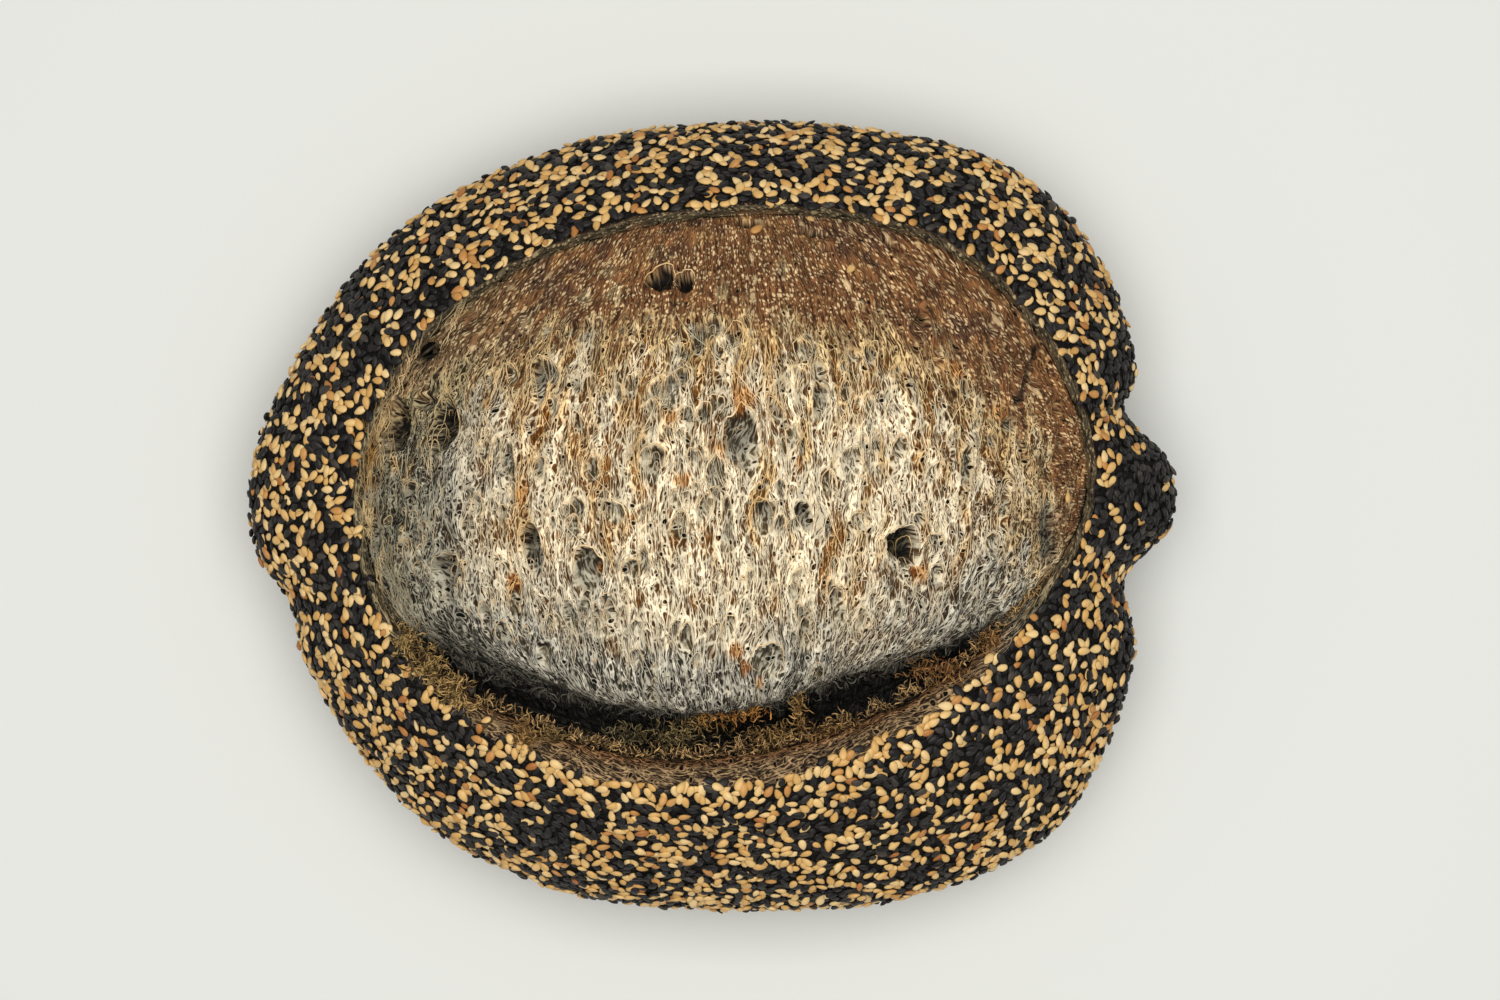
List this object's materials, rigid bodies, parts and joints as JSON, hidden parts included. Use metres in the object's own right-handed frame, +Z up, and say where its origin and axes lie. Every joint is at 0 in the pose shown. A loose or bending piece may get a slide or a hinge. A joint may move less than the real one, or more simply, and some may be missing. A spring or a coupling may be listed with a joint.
{
  "type": "sourdough loaf",
  "caption": "Round-oval sourdough loaf with a sesame-seeded crust, burst open along one score into a domed crumb crown behind a raised ear, flat underneath.",
  "frame": {"origin": "middle of the loaf's footprint, at the height of its flat underside", "axes": "+Z up, +X along the loaf's length, +Y away from the raised ear towards the browned back of the crown"},
  "size_m": [0.2292, 0.1958, 0.104],
  "materials": {
    "bread": "matt baked crust and open crumb",
    "golden_sesame": "toasted hulled sesame seed, satin",
    "black_sesame": "unhulled black sesame seed, satin"
  },
  "bodies": {
    "root": {"loaf": "bread"}
  },
  "joints": []
}
